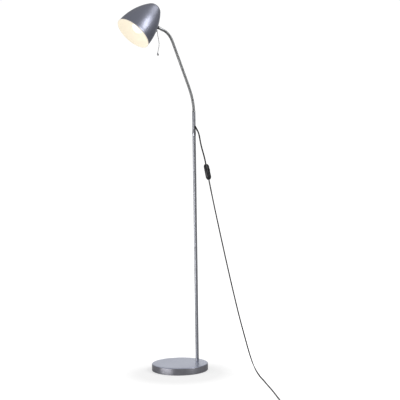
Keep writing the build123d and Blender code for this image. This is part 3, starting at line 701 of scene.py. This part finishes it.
def make_rocker():
    """The rocker, a shallow V with a round back, tilted to one side."""
    half, top = ROCKER_LEN / 2, ROCKER_DEPTH + ROCKER_PROUD
    outline = [(-half + 0.6 * MM, top + ROCKER_CROWN)]
    outline += [(half * x, top + ROCKER_CROWN * abs(x) ** 1.6) for x in (-0.7, -0.35, 0, 0.35, 0.7)]
    outline += [(half - 0.6 * MM, top + ROCKER_CROWN), (half - 0.9 * MM, 0.4 * MM)]
    outline += [(half * 0.45, -1.9 * MM), (-half * 0.45, -1.9 * MM), (-half + 0.9 * MM, 0.4 * MM)]
    mesh = bmesh.new()
    near = [mesh.verts.new((x, -ROCKER_W / 2, z)) for x, z in outline]
    far = [mesh.verts.new((x, ROCKER_W / 2, z)) for x, z in outline]
    mesh.faces.new(near)
    mesh.faces.new(far)
    for k in range(len(outline)):
        n = (k + 1) % len(outline)
        mesh.faces.new((near[k], near[n], far[n], far[k]))
    rim = [edge for edge in mesh.edges if edge.verts[0].co.y * edge.verts[1].co.y > 0]
    bmesh.ops.bevel(mesh, geom=rim, offset=ROCKER_EDGE, segments=2, profile=0.5, affect="EDGES")
    place = CASE_PLACE @ Matrix.Translation((0, 0, CASE_UPPER_T - ROCKER_DEPTH))
    mesh.transform(place @ Matrix.Rotation(ROCKER_TILT, 4, "Y"))
    rocker = finish_mesh("switch_rocker", mesh, [MATERIALS["rocker_plastic"]])
    return put(rocker, "rocker", "rocker_plastic", "case_rocker")


# ======== plug
PLUG_PLACE = placed(PLUG_POINT, PLUG_DIR, UP.cross(PLUG_DIR), UP)
PLUG_LEN = 34.0 * MM
PLUG_W = 26.0 * MM
PLUG_T = 13.7 * MM
PLUG_TAIL_W = 11.0 * MM
PLUG_WAIST = 7.0 * MM                    # along the plug, where it starts to widen
PLUG_TAPER = 12.0 * MM
PLUG_LIP = 1.5 * MM
PLUG_GROOVES = (5.0 * MM, 7.0 * MM)
PIN_R = 2.0 * MM
PIN_LEN = 19.0 * MM
PIN_SPAN = 18.6 * MM
PIN_ROOT = 10.0 * MM                     # the length of its insulated root
PIN_SUNK = 0.5 * MM


def make_plug():
    """The flat two-pin plug: a moulded body that narrows to the cord, with grip grooves."""
    rings = []
    stations = [0, 0.5 * MM, 2 * MM, 4 * MM, PLUG_GROOVES[0], 6 * MM, PLUG_GROOVES[1]]
    stations += [PLUG_WAIST + PLUG_TAPER * k / 7 for k in range(1, 8)]
    stations += [PLUG_LEN - back * MM for back in (10, 3, 1, 0.3, 0)]
    for x in stations:
        share = smooth(min(1, max(0, (x - PLUG_WAIST) / PLUG_TAPER)))
        edge = min(x, PLUG_LEN - x)
        size = lip(edge, PLUG_LIP, 0.84) * (0.9 if x in PLUG_GROOVES else 1)
        half_w = (PLUG_TAIL_W + (PLUG_W - PLUG_TAIL_W) * share) / 2 * size
        half_t = PLUG_T / 2 * (0.72 + 0.28 * share) * size
        rings.append([PLUG_PLACE @ p for p in rounded_ring(x, half_w, half_t, half_t, 3.6)])
    body = loft_rings("plug_shell", rings, [MATERIALS["plug_plastic"]], 50)
    return put(body, "stand", "plug_plastic", "plug_body")


def make_pins():
    """The plug's round pins, each with its insulated root."""
    pins = []
    root_r = PIN_R * 0.97
    outline = [(0, -PIN_SUNK), (root_r, -PIN_SUNK), (root_r, PIN_ROOT)]
    outline += [(PIN_R, PIN_ROOT + 0.1 * MM)]
    outline += arc((0, PIN_LEN - PIN_R), PIN_R, 0, 90, 6)
    materials = [MATERIALS["plug_plastic"], MATERIALS["pin_nickel"]]
    for side, name in ((-1, "plug_pin_right"), (1, "plug_pin_left")):
        place = PLUG_PLACE @ frame_at((PLUG_LEN, side * PIN_SPAN / 2, 0), (1, 0, 0))
        pin = lathe(name, outline, place, materials, 32, pick=lambda index: int(index >= 3))
        pins.append(put(pin, "stand", "pin_nickel", "plug_pins"))
    return pins


# ======== base and pole
BASE_H = high("base_cover").z
COVER_LIFT = low("base_cover").z
COVER_WALL = 1.5 * MM
COVER_EDGE = 3.0 * MM
COVER_CORNER = 2.0 * MM                  # of its inside
RIM_FACES = 5                            # runs of its outline, from the foot up: the turned rim
TUBE_WALL = 1.0 * MM
TUBE_EASE = 0.25 * MM
COUPLING_R = 6.9 * MM


def pole_place(height=0.0):
    return Matrix.Translation((POLE_X, 0, height))


def make_base():
    """The pressed cover, with a rounded upper edge and a slightly turned-in lower one."""
    inner = BASE_R - COVER_WALL
    outline = [(BASE_R - 0.5 * MM, COVER_LIFT), (BASE_R, COVER_LIFT + 1.2 * MM)]
    outline += arc((BASE_R - COVER_EDGE, BASE_H - COVER_EDGE), COVER_EDGE, 0, 90, 10)
    outline += [(BASE_R * share, BASE_H) for share in (0.8, 0.6, 0.4, 0.2, 0)]
    ceiling = BASE_H - COVER_WALL
    outline += [(0, ceiling), (inner - COVER_CORNER, ceiling)]
    outline += [(inner, ceiling - COVER_CORNER), (inner, COVER_LIFT)]
    turned("base_shell", outline, Matrix.Identity(4), "stand", "cover_paint", "base_cover", 160,
           [COVER_RIM], lambda index: int(index < RIM_FACES), sharp=50)


def tube_outline(start, end):
    """A tube's wall with its outer corners eased."""
    inner, eased = POLE_R - TUBE_WALL, POLE_R - TUBE_EASE
    return [(inner, start), (eased, start), (POLE_R, start + TUBE_EASE),
            (POLE_R, end - TUBE_EASE), (eased, end), (inner, end)]


def make_pole():
    """The two tubes, the barrel coupling and the sleeve."""
    for name, node in (("pole_tube_lower", "pole_lower"), ("pole_tube_upper", "pole_upper"),
                       ("sleeve_tube", "cord_sleeve")):
        outline = tube_outline(low(node).z, high(node).z)
        turned(name, outline, pole_place(), "stand", "pole_paint", node)
    start, foot = low("pole_collar").z, high("pole_upper").z
    top, end = low("cord_sleeve").z, high("pole_collar").z
    half, rise = (top - foot) / 2, COUPLING_R - POLE_R
    curve = (half**2 + rise**2) / (2 * rise)
    lean = math.degrees(math.asin((half - 0.6 * MM) / curve))
    spigot, shoulder = POLE_R - TUBE_WALL - 0.05 * MM, POLE_R - 0.3 * MM
    outline = [(0, start), (spigot, start), (spigot, foot), (shoulder, foot)]
    outline += arc((COUPLING_R - curve, foot + half), curve, -lean, lean, 10)
    outline += [(shoulder, top), (spigot, top), (spigot, end), (0, end)]
    turned("pole_coupling", outline, pole_place(), "stand", "collar_metal", "pole_collar", sharp=50)


# ======== gooseneck
NECK_R = 5.0 * MM
RIB_PITCH = 2.0 * MM
RIB_DEPTH = 0.35 * MM
RIB_STEPS = 6                            # rings for each rib
NECK_SIDES = 28
NECK_TURNS = [2 * math.pi * n / NECK_SIDES for n in range(NECK_SIDES)]
BALL_LEANS = (80, 60, 40, 20, 6)         # degrees from a ball's middle to each of its rings
FERRULE_R = 5.4 * MM
FERRULE_START = 8.0 * MM                 # along the ferrule from the last pivot
BAND_DEPTH = 0.35 * MM
FOOT_COLLAR = 5.0 * MM
NIPPLE_R = 4.0 * MM
NIPPLE_BORE = 2.4 * MM
NIPPLE_LEN = 17.7 * MM
KNUCKLE_R = 6.6 * MM
KNUCKLE_LEN = 7.4 * MM
KNUCKLE_BORE = 4.05 * MM
BODIES = ["stand"] + [f"neck_{k}" for k in range(1, 10)] + ["neck_end"]
JOINT_OF = {joint["child"]: joint for joint in frame["joints"]}
PIVOTS = [Vector(JOINT_OF[body]["pos_m"]) for body in BODIES[1:]]
KNUCKLE = joint_point("shade_swivel")
NECK_DIR = Vector(JOINTS["shade_swivel"]["axis"]).normalized()
NECK_START = Vector((POLE_X, 0, SLEEVE_TOP + FOOT_COLLAR))
NECK_END = PIVOTS[-1] + NECK_DIR * FERRULE_START


def neck_spans():
    """For each pivot, the span of the neck round it: from one link's middle to the next's."""
    middles = [NECK_START] + [(a + b) / 2 for a, b in zip(PIVOTS, PIVOTS[1:])] + [NECK_END]
    return list(zip(middles, PIVOTS, middles[1:]))


def neck_line(span, t):
    """The neck's centre line and its direction along a span, an arc that eases round the pivot."""
    start, pivot, end = span
    at = start.lerp(pivot, t).lerp(pivot.lerp(end, t), t)
    return at, ((pivot - start) * (1 - t) + (end - pivot) * t).normalized()


def neck_ribs(span):
    start, pivot, end = span
    return max(2, round(((pivot - start).length + (end - pivot).length) / RIB_PITCH))


def neck_circle(at, along, radii):
    """Points round a place of the neck, with a radius for each turn."""
    out = along.cross(SIDE)
    return [at + (SIDE * math.cos(turn) + out * math.sin(turn)) * radius
            for turn, radius in zip(NECK_TURNS, radii)]


def neck_ring(span, t):
    """The gooseneck's outline at a place of a span, ribbed like a close-wound spring."""
    wound = 2 * math.pi * neck_ribs(span) * t
    grooves = [(0.5 - 0.5 * math.cos(wound + turn)) ** 3 for turn in NECK_TURNS]
    return neck_circle(*neck_line(span, t), [NECK_R - RIB_DEPTH * groove for groove in grooves])


def neck_parting(span):
    """Where on a span its centre line passes the pivot, between the two links' pieces."""
    start, pivot, end = span
    return 1 / (1 + math.sqrt((end - pivot).length / (pivot - start).length))


def neck_ball(span):
    """Half a ball behind the parting, which fills the joint's outer side when the neck bends."""
    at, along = neck_line(span, neck_parting(span))
    radius, rings = NECK_R - RIB_DEPTH, []
    for lean in map(math.radians, BALL_LEANS):
        centre = at - along * (radius * math.sin(lean))
        rings.append(neck_circle(centre, along, [radius * math.cos(lean)] * NECK_SIDES))
    return rings


def stretch(span, first, last):
    """The rings of a span between two places on it."""
    count = max(3, round(neck_ribs(span) * RIB_STEPS * (last - first)))
    return [neck_ring(span, first + (last - first) * k / count) for k in range(count + 1)]


def make_neck():
    """The gooseneck, a piece for each link from pivot to pivot, and its foot collar."""
    spans = neck_spans()
    nodes = ["neck_lead"] + [f"neck_link_{k}" for k in range(1, len(spans))]
    for k, body in enumerate(BODIES):
        rings = []
        if k > 0:
            parting = neck_parting(spans[k - 1])
            rings += neck_ball(spans[k - 1]) + stretch(spans[k - 1], parting, 1)[:-1]
        if k < len(spans):
            rings += stretch(spans[k], 0, neck_parting(spans[k]))
        else:
            rings.append(neck_ring(spans[-1], 1))
        piece = loft_rings(f"gooseneck_{k + 1}", rings, [MATERIALS["neck_metal"]], 70)
        put(piece, body, "neck_metal", *nodes[k:k + 1])
    collar = [(0, 0), (POLE_R, 0), (POLE_R, 3.6 * MM), (POLE_R - 0.5 * MM, 4.4 * MM)]
    collar += [(NECK_R - 0.4 * MM, FOOT_COLLAR), (0, FOOT_COLLAR)]
    turned("neck_foot", collar, pole_place(SLEEVE_TOP), "stand", "neck_metal", "neck_foot_ferrule")


def band(radius, start):
    """The corners of a shallow groove round a ferrule, after the first one at its start."""
    bottom = radius - BAND_DEPTH
    return [(bottom, start + 0.3 * MM), (bottom, start + 0.9 * MM), (radius, start + 1.2 * MM)]


def make_ferrule():
    """The bright ferrule at the neck's end, with two bands, and the hollow nipple behind it."""
    r, length = FERRULE_R, (KNUCKLE - PIVOTS[-1]).length
    start, first, second = FERRULE_START, FERRULE_START + 2.6 * MM, length - 3.2 * MM
    tip, ease = length + NIPPLE_LEN, 0.4 * MM
    outline = [(0, start - 1 * MM), (NECK_R, start - 1 * MM)]
    outline += rounded([(NECK_R, start), (r, start + 0.6 * MM), (r, first)], 0.3 * MM)
    outline += band(r, first) + [(r, second)] + band(r, second)
    outline += [(r, length - ease), (r - ease, length), (NIPPLE_R, length)]
    outline += [(NIPPLE_R, tip - ease), (NIPPLE_R - ease, tip), (NIPPLE_BORE, tip)]
    outline += [(NIPPLE_BORE, tip - 4 * MM), (0, tip - 4 * MM)]
    turned("neck_ferrule", outline, frame_at(PIVOTS[-1], NECK_DIR),
           "neck_end", "ferrule_chrome", "neck_end_ferrule")


def make_knuckle():
    """The black swivel between the ferrule and the shade."""
    r, length, throat = KNUCKLE_R, KNUCKLE_LEN, KNUCKLE_R - 1.2 * MM
    body = [(r - 1.4 * MM, 0), (r, 1.6 * MM), (r, length - 2.4 * MM), (throat, length - 1.6 * MM)]
    outline = [(KNUCKLE_BORE, 0)] + rounded(body + [(throat, length)], 0.5 * MM)
    outline += [(KNUCKLE_BORE, length)]
    turned("shade_knuckle", outline, frame_at(KNUCKLE, NECK_DIR),
           "neck_end", "knuckle_plastic", "swivel_knuckle")


# ======== shade
RIM_R = 65.0 * MM
SHADE_DEPTH = 138.6 * MM
CROWN_R = 32.0 * MM
SHADE_WALL = 0.8 * MM
BEAD_R = 1.4 * MM
NECK_HEIGHT = 85.3 * MM                  # rim up to where the neck enters, along the shade's axis
WALL_GAP = KNUCKLE_LEN + 0.3 * MM        # from the swivel's point to the shade's wall
SIDE_R = (RIM_R**2 + (SHADE_DEPTH - CROWN_R) ** 2 - CROWN_R**2) / (2 * (RIM_R - CROWN_R))


def shade_place():
    """The shade's place: Z from the rim to the crown, X to the side where the neck enters."""
    slope = math.asin(NECK_HEIGHT / SIDE_R)
    radius = RIM_R - SIDE_R + math.sqrt(SIDE_R**2 - NECK_HEIGHT**2)
    neck = math.atan2(NECK_DIR.x, NECK_DIR.z)
    radial = Vector((math.sin(neck + math.pi - slope), 0, math.cos(neck + math.pi - slope)))
    up = Vector((math.sin(neck - math.pi / 2 - slope), 0, math.cos(neck - math.pi / 2 - slope)))
    entry = KNUCKLE + NECK_DIR * WALL_GAP
    origin = entry - radial * radius - up * NECK_HEIGHT
    return placed(origin, radial, up.cross(radial), up)


SHADE_PLACE = shade_place()


def bell(inset, steps=28):
    """The wall's line from the rim to the axis."""
    turn = math.degrees(math.atan2(SHADE_DEPTH - CROWN_R, SIDE_R - RIM_R))
    side = arc((RIM_R - SIDE_R, 0), SIDE_R - inset, 0, turn, steps)
    return side + arc((0, SHADE_DEPTH - CROWN_R), CROWN_R - inset, turn, 90, 14)[1:]


def make_shade():
    """The spun bell: paint outside, enamel inside, and its rolled edge."""
    outside = bell(0)[1:]
    inside = bell(SHADE_WALL)[:0:-1]
    bead = arc((RIM_R - SHADE_WALL / 2, 0), BEAD_R, 130, 410, 14)
    outline = bead + outside + inside
    painted = range(len(bead) - 1, len(bead) + len(outside) - 1)
    turned("bell_shade", outline, SHADE_PLACE, "head", "shade_paint", "shade", 128,
           [SHADE_INSIDE], lambda index: int(index not in painted), sharp=40)


# ======== holder and bulb
HOLDER_TOP = 118.0 * MM                  # heights in the shade's frame
HOLDER_R = 14.0 * MM
HOLDER_LEN = 46.0 * MM
HOLDER_CAP_H = 15.0 * MM
BULB_SEAT = HOLDER_TOP - HOLDER_LEN - 1.0 * MM
BULB_R = 22.5 * MM
BULB_LEN = 58.0 * MM
BULB_NECK_R = 9.5 * MM
BULB_CAP_R = 6.9 * MM


def make_holder():
    """The lampholder: a domed cap and a barrel with a grip of fine flutes at its joint."""
    r, top = HOLDER_R, HOLDER_TOP
    seam, foot = top - HOLDER_CAP_H, top - HOLDER_LEN
    dome = [(3 * MM, top), (9 * MM, top), (r, top - 6 * MM), (r, seam + 0.3 * MM)]
    cap = [(0, top)] + rounded(dome, 3 * MM, 6)
    cap += [(r - 0.5 * MM, seam), (r - 2 * MM, seam), (r - 2 * MM, top - 8 * MM), (0, top - 8 * MM)]
    turned("holder_dome", cap, SHADE_PLACE, "head", "holder_plastic", "holder_cap", 64)
    barrel = [(r - 2 * MM, seam), (r - 0.5 * MM, seam), (r, seam - 0.3 * MM), (r, seam - 3 * MM)]
    for k in range(4):
        groove = seam - 4 * MM - k * 1.6 * MM
        barrel += [(r, groove), (r - 0.35 * MM, groove - 0.4 * MM), (r, groove - 0.8 * MM)]
    skirt = [(r, seam - 12 * MM), (r, foot + 2.5 * MM), (r - 1.6 * MM, foot), (7.7 * MM, foot)]
    barrel += rounded(skirt, 1.5 * MM)
    barrel += [(7.65 * MM, foot + 3 * MM), (r - 2 * MM, foot + 6 * MM)]
    turned("holder_body", barrel, SHADE_PLACE, "head", "holder_plastic", "holder_barrel", 64)


def make_bulb():
    """The lit golf-ball bulb."""
    centre = BULB_SEAT - BULB_LEN + BULB_R
    globe = arc((0, centre), BULB_R, -90, 40, 22)
    neck = [globe[-1], (BULB_NECK_R + 1.0 * MM, BULB_SEAT - 10 * MM),
            (BULB_NECK_R - 0.6 * MM, BULB_SEAT - 4 * MM), (BULB_CAP_R - 0.3 * MM, BULB_SEAT)]
    outline = globe + rounded(neck, 7 * MM, 8)[1:] + [(0, BULB_SEAT)]
    turned("bulb_globe", outline, SHADE_PLACE, "head", "bulb_opal", "bulb_glass", 64, sharp=60)


# ======== pull switch and chain
CHAIN_TOP = high("pull_chain").z
CHAIN_FOOT = low("pull_chain").z
CHAIN_AT = joint_point("chain_swing")
BEAD_PITCH = 3.6 * MM
CHAIN_BEAD_R = 1.5 * MM
CHAIN_WIRE_R = 0.35 * MM
CHAIN_BOW = 5.0 * MM
KNOB_R = 3.4 * MM
KNOB_LEN = 11.0 * MM


def make_chain():
    """The bead chain, which keeps a slight bow from its packing, and its knob."""
    length = CHAIN_TOP - CHAIN_FOOT
    beads = round(length / BEAD_PITCH)
    pitch = length / beads
    outline = [(0, 0)]
    for k in range(beads):
        middle = -(k + 0.5) * pitch
        outline += [(CHAIN_WIRE_R, middle + CHAIN_BEAD_R)]
        for lean in map(math.radians, (65, 45, 22, 0, -22, -45, -65)):
            outline += [(CHAIN_BEAD_R * math.cos(lean), middle + CHAIN_BEAD_R * math.sin(lean))]
        outline += [(CHAIN_WIRE_R, middle - CHAIN_BEAD_R)]
    outline += [(0, -length)]
    top = Matrix.Translation((CHAIN_AT.x, CHAIN_AT.y, CHAIN_TOP))
    chain = lathe("bead_chain", outline, top, [MATERIALS["chain_nickel"]], 16, sharp=50)
    for vertex in chain.data.vertices:
        down = (CHAIN_TOP - vertex.co.z) / length
        vertex.co += TO_RIGHT * (CHAIN_BOW * math.sin(math.pi * down ** 1.3) ** 1.5)
    put(chain, "chain", "chain_nickel", "pull_chain")
    r = KNOB_R
    shape = [(r * 0.35, 0), (r * 0.42, -2.2 * MM), (r * 0.95, -4.4 * MM), (r, -7.4 * MM),
             (r * 0.75, -KNOB_LEN + 0.8 * MM), (r * 0.4, -KNOB_LEN)]
    outline = [(0, 0)] + rounded(shape, 1.4 * MM, 6) + [(0, -KNOB_LEN)]
    turned("chain_bob", outline, Matrix.Translation((CHAIN_AT.x, CHAIN_AT.y, CHAIN_FOOT)),
           "chain", "chain_nickel", "chain_knob", 40, sharp=50)


# ======== floor and light
FLOOR_SIZE = 30.0                        # from the middle to each side
# The camera-only glow is weaker round the base, in a patch shifted towards the camera: painted shade of a halo
# there, over which the real shadow shows.
FLOOR_GLOW = (0.60, 1.0)                 # what only the camera sees of the floor: near, far
FLOOR_FADE = (0.14, 0.34)                # between these distances from the fade's middle
FLOOR_SHIFT = 0.06                       # which lies this far towards the camera
ROOM_LEVEL = 0.22                        # brightness of the room all round
BACKDROP_LEVEL = 0.85                    # more of it behind the lamp
BACKDROP_EDGE = (0.86, 0.98)             # cosines between which it fades in
CEILING_LEVEL = 0.16                     # more of it overhead
CEILING_EDGE = (0.2, 1.0)


def math_node(tree, operation, first, second):
    """A math node on two values, each a socket or a number."""
    node = tree.nodes.new("ShaderNodeMath")
    node.operation = operation
    for socket, value in zip(node.inputs, (first, second)):
        if isinstance(value, (int, float)):
            socket.default_value = value
        else:
            tree.links.new(value, socket)
    return node.outputs[0]


def make_floor():
    """A plain pale floor that keeps the lamp's shadow and looks white from the camera, apart from a painted shade
    halo round the base, where its glow is weaker.
    """
    shader = Shader("studio_floor").set(Roughness=0.9, Specular_IOR_Level=0.0,
                                        Emission_Color=(1, 1, 1, 1))
    shader.colour(shader.noise(2.0, 2.0), (0.50, 0.50, 0.50), (0.51, 0.51, 0.51))
    away = shader.nodes.new("ShaderNodeVectorMath")
    away.operation = "DISTANCE"
    away.inputs[1].default_value = TO_CAMERA * FLOOR_SHIFT
    shader.links.new(shader.place, away.inputs[0])
    glow = shader.spread(away.outputs["Value"], *FLOOR_GLOW)
    for name, value in zip(("From Min", "From Max"), FLOOR_FADE):
        glow.node.inputs[name].default_value = value
    seen = shader.nodes.new("ShaderNodeLightPath").outputs["Is Camera Ray"]
    strength = math_node(shader.material.node_tree, "MULTIPLY", glow, seen)
    shader.links.new(strength, shader.surface.inputs["Emission Strength"])
    mesh = bmesh.new()
    bmesh.ops.create_grid(mesh, x_segments=1, y_segments=1, size=FLOOR_SIZE)
    floor = finish_mesh("floor", mesh, [shader.material])


def facing(tree, direction, edge, level):
    """Brightness that grows from none to a level as the view turns towards a direction."""
    dot = tree.nodes.new("ShaderNodeVectorMath")
    dot.operation = "DOT_PRODUCT"
    dot.inputs[1].default_value = direction
    tree.links.new(tree.nodes["Texture Coordinate"].outputs["Generated"], dot.inputs[0])
    ramp = tree.nodes.new("ShaderNodeMapRange")
    ramp.interpolation_type = "SMOOTHSTEP"
    for name, value in zip(("From Min", "From Max", "To Min", "To Max"), (*edge, 0.0, level)):
        ramp.inputs[name].default_value = value
    tree.links.new(dot.outputs["Value"], ramp.inputs["Value"])
    return ramp.outputs["Result"]


def make_world():
    """A dim room with a bright backdrop and ceiling; the camera sees it white."""
    world = bpy.data.worlds.new("studio")
    world.use_nodes = True
    bpy.context.scene.world = world
    tree = world.node_tree
    tree.nodes.new("ShaderNodeTexCoord")
    backdrop = facing(tree, -TO_CAMERA, BACKDROP_EDGE, BACKDROP_LEVEL)
    ceiling = facing(tree, UP, CEILING_EDGE, CEILING_LEVEL)
    room = math_node(tree, "ADD", math_node(tree, "ADD", backdrop, ceiling), ROOM_LEVEL)
    seen = tree.nodes.new("ShaderNodeLightPath").outputs["Is Camera Ray"]
    background = tree.nodes["Background"]
    background.inputs["Color"].default_value = (1, 1, 1, 1)
    tree.links.new(math_node(tree, "MAXIMUM", seen, room), background.inputs["Strength"])


def area_light(name, target, azimuth, away, rise, size, watts):
    """A soft light that faces a target, at an angle in degrees to the right of the camera."""
    data = bpy.data.lights.new(name, "AREA")
    data.shape = "RECTANGLE"
    data.size, data.size_y = size
    data.energy = watts
    light = bpy.data.objects.new(name, data)
    bpy.context.collection.objects.link(light)
    turn = math.radians(azimuth)
    aside = TO_CAMERA * math.cos(turn) + TO_RIGHT * math.sin(turn)
    light.location = target + aside * away + UP * rise
    light.rotation_mode = "QUATERNION"
    light.rotation_quaternion = (light.location - target).to_track_quat("Z", "Y")


def make_lights():
    """A broad soft light low on the left, a smaller one right of the shade, a faint one behind."""
    lower, head = Vector((0, 0, 0.35)), Vector((0.14, 0.06, 1.2))
    area_light("key", lower, -55.0, away=2.3, rise=0.0, size=(2.0, 0.95), watts=27.0)
    area_light("shade_streak", head, 68.0, away=2.0, rise=0.95, size=(0.7, 1.3), watts=20.0)
    area_light("rim", head, 118.0, away=1.6, rise=1.7, size=(1.2, 1.2), watts=6.0)


# ======== the lamp
make_camera()
dress_nodes()
CORD, CORD_LINE, CORD_LENGTH = make_cord()
BUSH = make_bush()
CASE = make_case()
ROCKER = make_rocker()
PLUG = make_plug()
PINS = make_pins()
make_base()
make_pole()
make_neck()
make_ferrule()
make_knuckle()
make_shade()
make_holder()
make_bulb()
make_chain()
make_floor()
make_world()
make_lights()
bpy.context.scene.view_settings.view_transform = "Standard"
